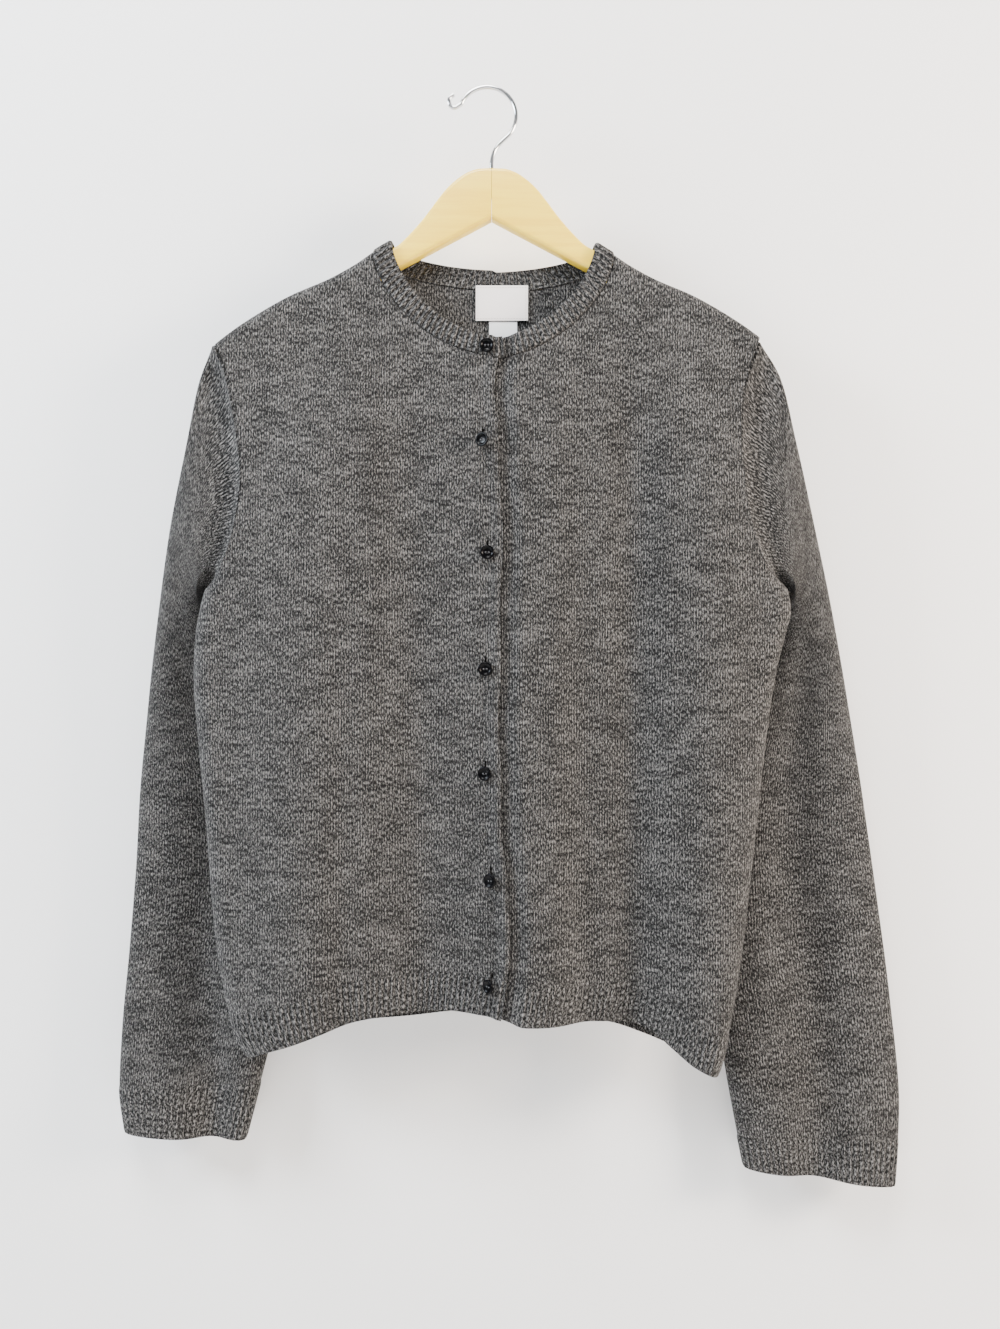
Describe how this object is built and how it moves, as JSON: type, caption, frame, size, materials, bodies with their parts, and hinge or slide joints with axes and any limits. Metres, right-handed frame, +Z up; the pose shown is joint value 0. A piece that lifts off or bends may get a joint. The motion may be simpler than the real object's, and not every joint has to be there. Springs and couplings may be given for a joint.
{
  "type": "button cardigan on a wooden clothes hanger",
  "caption": "Long-sleeved round-neck knitted cardigan with ribbed bands and a buttoned front, hanging on a plain wooden clothes hanger with a steel hook.",
  "frame": {"origin": "inside of the crown of the hanger's hook, where it bears on a rail or peg", "axes": "+Z up, -Y out of the front of the cardigan, +X towards the wearer's left sleeve"},
  "size_m": [0.624, 0.0667, 0.8683],
  "materials": {
    "knit": "felted dark grey marl plain knit, matt",
    "rib": "felted dark grey marl rib, matt",
    "button": "polished near-black",
    "label": "blank off-white woven label",
    "care_label": "blank white satin tape",
    "wood": "pale wood under clear satin lacquer",
    "hook": "polished steel wire"
  },
  "bodies": {
    "root": {"back": "knit", "front_right": "knit", "front_left": "knit", "sleeve_right": "knit", "sleeve_left": "knit", "neckband": "rib", "brand_label": "label", "care_label": "care_label", "hanger_left": "wood", "hanger_right": "wood", "hanger_hook": "hook", "button_1": "button", "button_2": "button", "button_3": "button", "button_4": "button", "button_5": "button", "button_6": "button", "button_7": "button"}
  },
  "joints": []
}
